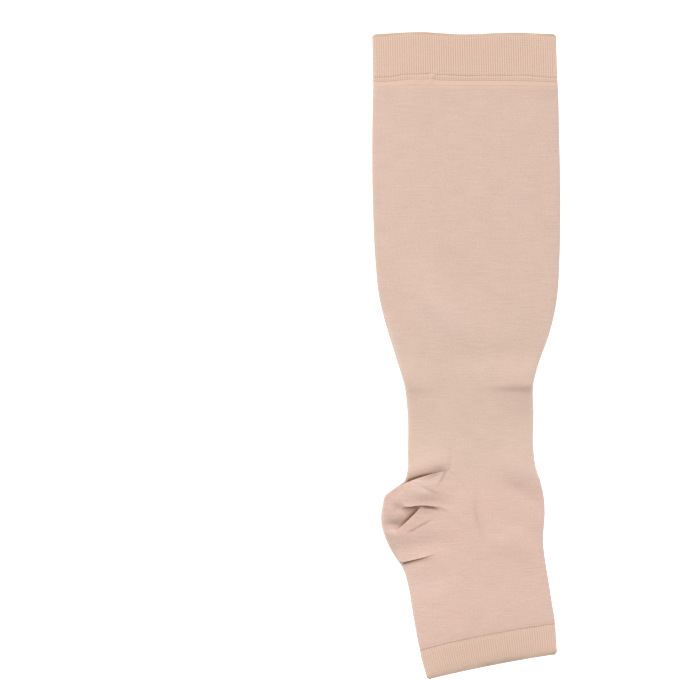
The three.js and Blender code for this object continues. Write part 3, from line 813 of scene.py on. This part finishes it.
def rib_band(name, ribs, profile, rib_depth):
    """A band of so many fine ribs round the tube, with a wall through the given rows."""
    around = np.arange(ribs * RIB_POINTS) / (ribs * RIB_POINTS)
    down, inset, shown, line = (np.array(values) for values in zip(*profile))
    band = tube_piece(name, tube_points(down, inset, around), around, down, True, rib_finish)
    # the line share is kept for the painted shade along lines and edges
    for label, values in {"outside": shown, "painted_line_shade": line}.items():
        attribute = band.data.attributes.new(label, "FLOAT", "POINT")
        attribute.data.foreach_set("value", np.repeat(values, len(around)))
    apply_tree(band, rib_tree, {"Rib count": float(ribs), "Rib depth": rib_depth * MM})
    settle(band, sharp_degrees=70)
    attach(band, "root")
    return band


def turned_edge(edge, way, wall_thickness, line, steps=6):
    """The rows round a band's free edge, with as much painted shade as line says. way is 1 where the rest
    of the band is further down, and -1 where it is further up."""
    radius = wall_thickness / 2
    turn = []
    for i in range(1, steps):
        angle = math.pi * i / steps
        depth = radius + radius * math.cos(angle) * way
        turn.append(BandRow(edge + way * radius * (1 - math.sin(angle)), depth, EDGE_RIBS, line))
    return turn


def edge_row(down, from_edge, line):
    """A row of the outer face. from_edge goes from 0 at the free edge to 1 where the ribs are full."""
    return BandRow(down, 0.0, EDGE_RIBS + (1 - EDGE_RIBS) * from_edge, line)


TOE_RIBS = 120
TOE_WALL = 1.6
TOE_RIB_DEPTH = 0.28
TOE_GAP = 0.15
TOE_EDGE_SHADE = 1.6  # how much painted shade lies along the toe edge
TOE_EDGE_POWER = 2  # and how fast that ends
TOE_OUTER_ROWS = 14
TOE_INNER_ROWS = 6
toe_top = DOWN["toe seam"] + TOE_GAP
toe_low = DOWN["toe edge"] - TOE_WALL / 2
# The first rows dip into the join with the foot and take painted shade.
toe_profile = [
    BandRow(toe_top, inset=SEAM_DIP + 0.15, ribs=0.2, line=0.7),
    BandRow(toe_top + 0.25, inset=SEAM_DIP, ribs=0.5, line=0.7),
    BandRow(toe_top + 0.8, inset=0.22, ribs=0.8, line=0.6),
    BandRow(toe_top + 1.6, inset=0.1, ribs=1.0, line=0.1),
]
for down in np.linspace(toe_top + 2.6, toe_low, TOE_OUTER_ROWS):
    from_edge = ramp(toe_low - down, 0, EDGE_REACH)
    toe_profile.append(edge_row(down, from_edge, TOE_EDGE_SHADE * (1 - from_edge) ** TOE_EDGE_POWER))
toe_profile += turned_edge(DOWN["toe edge"], -1, TOE_WALL, TOE_EDGE_SHADE)
toe_inner = np.linspace(toe_low, toe_top, TOE_INNER_ROWS)
toe_profile += [BandRow(down, TOE_WALL, INNER_RIBS, 0.0) for down in toe_inner]
toe_band = rib_band("toe_rib_band", TOE_RIBS, toe_profile, TOE_RIB_DEPTH)
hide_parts("toe_band")

KNEE_RIBS = 164
KNEE_WALL = 2.0
KNEE_RIB_DEPTH = 0.45
KNEE_EDGE_SHADE = 1.1  # how much painted shade lies along the knee edge
KNEE_EDGE_POWER = 6  # and how fast that ends
KNEE_OUTER_ROWS = 20
KNEE_INNER_ROWS = 7
HEM_LINE_ROWS = 5
HEM_LINE_DEPTH = 0.3
HEM_LINE_HALF = 0.5
knee_low = DOWN["band end"]
knee_profile = []
for down in np.linspace(KNEE_WALL / 2, HEM_LINE - 1.2, KNEE_OUTER_ROWS):
    from_edge = ramp(down, KNEE_WALL / 2, EDGE_REACH)
    knee_profile.append(edge_row(down, from_edge, KNEE_EDGE_SHADE * (1 - from_edge) ** KNEE_EDGE_POWER))
# The hem line sinks in and takes painted shade.
for offset in np.linspace(-HEM_LINE_HALF, HEM_LINE_HALF, HEM_LINE_ROWS):
    share = 1 - (offset / HEM_LINE_HALF) ** 2
    knee_profile.append(BandRow(HEM_LINE + offset, inset=HEM_LINE_DEPTH * share, ribs=0.7, line=share))
# Below the hem line the band lies full, and at its lower end it sinks in and takes painted shade.
knee_profile += [
    BandRow(HEM_LINE + 0.9, inset=-0.1, ribs=1.0, line=0.0),
    BandRow(HEM_LINE + 1.7, inset=-0.1, ribs=1.0, line=0.0),
    BandRow(knee_low - 0.6, inset=-0.05, ribs=1.0, line=0.0),
    BandRow(knee_low - 0.3, inset=0.05, ribs=0.8, line=0.2),
    BandRow(knee_low - 0.1, inset=0.15, ribs=0.5, line=0.7),
    BandRow(knee_low - 0.05, inset=KNEE_WALL - 0.4, ribs=0.0, line=0.0),
]
knee_inner = np.linspace(knee_low - 0.5, KNEE_WALL / 2, KNEE_INNER_ROWS)
knee_profile += [BandRow(down, KNEE_WALL, INNER_RIBS, 0.0) for down in knee_inner]
knee_profile += turned_edge(0.0, 1, KNEE_WALL, KNEE_EDGE_SHADE)
knee_band = rib_band("knee_rib_band", KNEE_RIBS, knee_profile, KNEE_RIB_DEPTH)
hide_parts("top_band")

# Linking seam
# The knee band is linked to the leg, stitch by stitch, by a seam of the same yarn. It rolls up into a
# smooth lighter cord of knit round the whole tube.
SEAM_LIGHT = (0.840, 0.615, 0.482, 1)
SEAM_SHADE = (0.700, 0.490, 0.380, 1)
STRANDS_ROUND = 30
STRAND = 0.5 * MM
STRAND_SHADE = 0.4
ROLL_SHADE = 0.6  # the roll's side towards the knee edge is darker
seam_finish, seam_wire = new_finish("seam_knit")
seam_uv = seam_wire.node("ShaderNodeUVMap", {"uv_map": "knit"})
seam_u = seam_wire.node("ShaderNodeSeparateXYZ", None, {0: seam_uv}, 0)
seam_v = seam_wire.node("ShaderNodeSeparateXYZ", None, {0: seam_uv}, 1)
strands = knit_noise(seam_wire, seam_u * STRANDS_ROUND, seam_v / STRAND, detail=3.0, level=0.0)
SEAM_MIDDLE = DOWN["band end"] + 1.6
SEAM_HALF = 1.8
roll_ends = ((SEAM_MIDDLE - SEAM_HALF) * MM, (SEAM_MIDDLE + SEAM_HALF) * MM)
roll_side = from_to(seam_wire, seam_v, roll_ends, (ROLL_SHADE, 0.0))
seam_colour = seam_wire.mix(strands * STRAND_SHADE + roll_side, SEAM_LIGHT, SEAM_SHADE)
seam_bump = bump(seam_wire, strength=0.3, distance=0.2 * MM, height=strands)
close_finish(seam_wire, {"Base Color": seam_colour, "Roughness": 0.8, "Normal": seam_bump, **CLOTH})
SEAM_INSET = 1.1  # depth of the roll's middle below the knit's face
SEAM_RADIUS = 1.16
SEAM_FLATNESS = 0.4  # below 1 flattens the roll's top
SEAM_SIDES = 14
SEAM_COLUMNS = 500


def flattened(reach):
    """Takes a round section's reach, from -1 to 1, to a flatter section's."""
    return np.sign(reach) * abs(reach) ** SEAM_FLATNESS


seam_angles = np.arange(SEAM_SIDES) * 2 * math.pi / SEAM_SIDES
seam_down = SEAM_MIDDLE - SEAM_HALF * flattened(np.cos(seam_angles))
seam_inset = SEAM_INSET - SEAM_RADIUS * flattened(np.sin(seam_angles))
seam_around = np.arange(SEAM_COLUMNS) / SEAM_COLUMNS
seam_points = tube_points(seam_down, seam_inset, seam_around)
seam = tube_piece("linking_seam", seam_points, seam_around, seam_down, True, seam_finish)
settle(seam, sharp_degrees=80)
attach(seam, "root")
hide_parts("band_seam")

# Stitches
# Short stitches of the same yarn close the join of the toe band, about one to each rib, and mark the two
# gore lines of the heel.
STITCH_INPUTS = {"Pitch": "NodeSocketFloat", "Size": "NodeSocketVector", "Turn": "NodeSocketFloat"}
stitch_tree, sewing, given = new_tree("stitches", STITCH_INPUTS)
thread_path = sewing.node("GeometryNodeMeshToCurve", None, {"Mesh": given["Geometry"]})
spacing = {"Curve": thread_path, "Length": given["Pitch"]}
spaced = sewing.node("GeometryNodeResampleCurve", {"mode": "LENGTH"}, spacing)
bead = sewing.node("GeometryNodeMeshIcoSphere", None, {"Radius": 0.5, "Subdivisions": 2})
heading = sewing.node("GeometryNodeInputTangent")
pointing = sewing.node("FunctionNodeAlignRotationToVector", {"axis": "X"}, {"Vector": heading})
turned = sewing.node("ShaderNodeCombineXYZ", None, {2: given["Turn"]})
pointing = sewing.node(
    "FunctionNodeRotateRotation", {"rotation_space": "LOCAL"}, {"Rotation": pointing, "Rotate By": turned}
)
sewn = sewing.node(
    "GeometryNodeInstanceOnPoints",
    None,
    {"Points": spaced, "Instance": bead, "Rotation": pointing, "Scale": given["Size"]},
)
close_tree(sewing, sewn, seam_finish)


def stitched(name, paths, pitch, size, turn_degrees):
    """Stitches of a size along paths of points in millimetres, each turned by an angle from its path."""
    points = [point * MM for path in paths for point in path]
    edges = []
    first = 0
    for path in paths:
        edges += [(i, i + 1) for i in range(first, first + len(path) - 1)]
        first += len(path)
    mesh = bpy.data.meshes.new(name)
    mesh.from_pydata(points, edges, [])
    piece = bpy.data.objects.new(name, mesh)
    scene.collection.objects.link(piece)
    values = {"Pitch": pitch * MM, "Size": [s * MM for s in size], "Turn": math.radians(turn_degrees)}
    apply_tree(piece, stitch_tree, values)
    settle(piece, sharp_degrees=80)
    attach(piece, "root")
    return piece


TOE_STITCH = (1.1, 0.5, 0.35)
TOE_STITCH_PITCH = 1.5
TOE_STITCH_TURN = 90
TOE_STITCH_INSET = 0.3
TOE_PATH_POINTS = 241
UPPER_LAYER = (0.23, 0.77)  # the shares round the tube between which the upper layer lies
toe_around = np.linspace(*UPPER_LAYER, TOE_PATH_POINTS)
toe_points = tube_points([DOWN["toe seam"]], [TOE_STITCH_INSET], toe_around)[0]
toe_path = [Vector(point[:3]) for point in toe_points]
toe_stitches = stitched(
    "toe_stitches", [toe_path], TOE_STITCH_PITCH, TOE_STITCH, TOE_STITCH_TURN
)

GORE_STITCH = (1.0, 0.5, 0.4)
GORE_STITCH_PITCH = 1.3
GORE_STITCH_TURN = 35
GORE_PATH_POINTS = 30
GORE_LINES = [((-39.0, -86.2), (-16.0, -99.6)), ((-38.5, -119.8), (-18.0, -107.5))]
ABOVE_KNIT = 100  # the gore lines are dropped onto the knit from this height
knit_corners = [vertex.co for vertex in leg.data.vertices]
knit_faces = [polygon.vertices for polygon in leg.data.polygons]
knit_surface = BVHTree.FromPolygons(knit_corners, knit_faces)
gore_paths = []
for start, end in GORE_LINES:
    path = []
    for t in np.linspace(0, 1, GORE_PATH_POINTS):
        above = Vector((*(np.array(start) * (1 - t) + np.array(end) * t), ABOVE_KNIT)) * MM
        path.append(knit_surface.ray_cast(above, Vector((0, 0, -1)))[0] / MM)
    gore_paths.append(path)
gore_stitches = stitched(
    "gore_stitches", gore_paths, GORE_STITCH_PITCH, GORE_STITCH, GORE_STITCH_TURN
)
